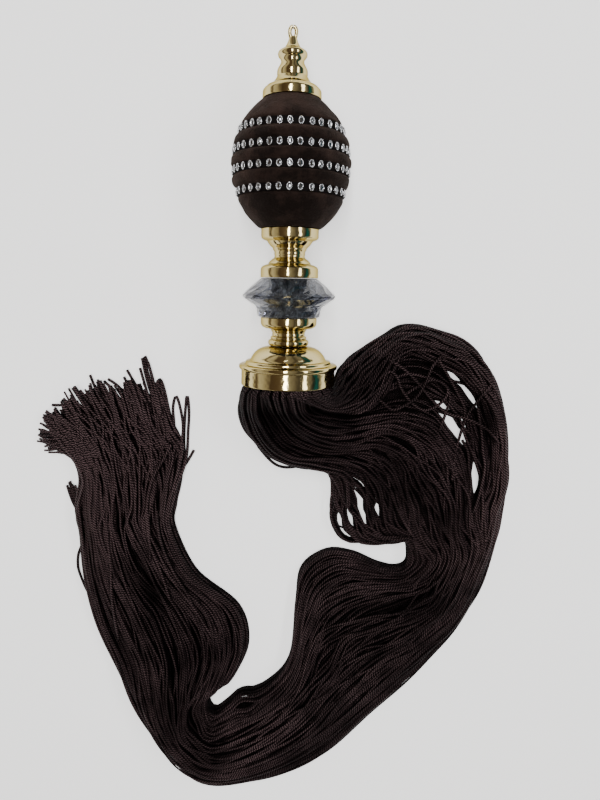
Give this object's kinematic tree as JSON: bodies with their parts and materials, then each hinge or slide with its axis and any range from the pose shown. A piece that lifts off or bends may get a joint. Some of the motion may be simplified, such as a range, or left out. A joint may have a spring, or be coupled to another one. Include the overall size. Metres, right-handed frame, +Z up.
{
  "type": "tassel curtain holdback",
  "caption": "Tassel curtain holdback lying flat: hanging eye, velvet ball with strips of stones, gold spools, smoky faceted disc, bell cap and a long skirt of cords in an S.",
  "frame": {"origin": "the small flat spot under the velvet ball, on the surface that the holdback lies on", "axes": "+Y along the stem towards the hanging eye, +X to the right with the eye away from the viewer, +Z up off the surface"},
  "size_m": [0.3312, 0.5232, 0.0739],
  "materials": {
    "gold": "bright pale gold plating on moulded plastic",
    "velvet": "dark brown short-pile velvet",
    "stone_strip": "silvery strip of clear faceted oval stones in bright rims",
    "crystal": "smoky violet-grey clear acrylic, faceted",
    "cord": "very dark brown two-ply twisted rayon cord with a slight sheen"
  },
  "bodies": {
    "root": {"top_cap": "gold", "upper_spool": "gold", "lower_spool": "gold", "bell_cap": "gold", "velvet_ball": "velvet", "stone_strip_1": "stone_strip", "stone_strip_2": "stone_strip", "stone_strip_3": "stone_strip", "stone_strip_4": "stone_strip", "crystal_disc": "crystal", "skirt": "cord"}
  },
  "joints": []
}
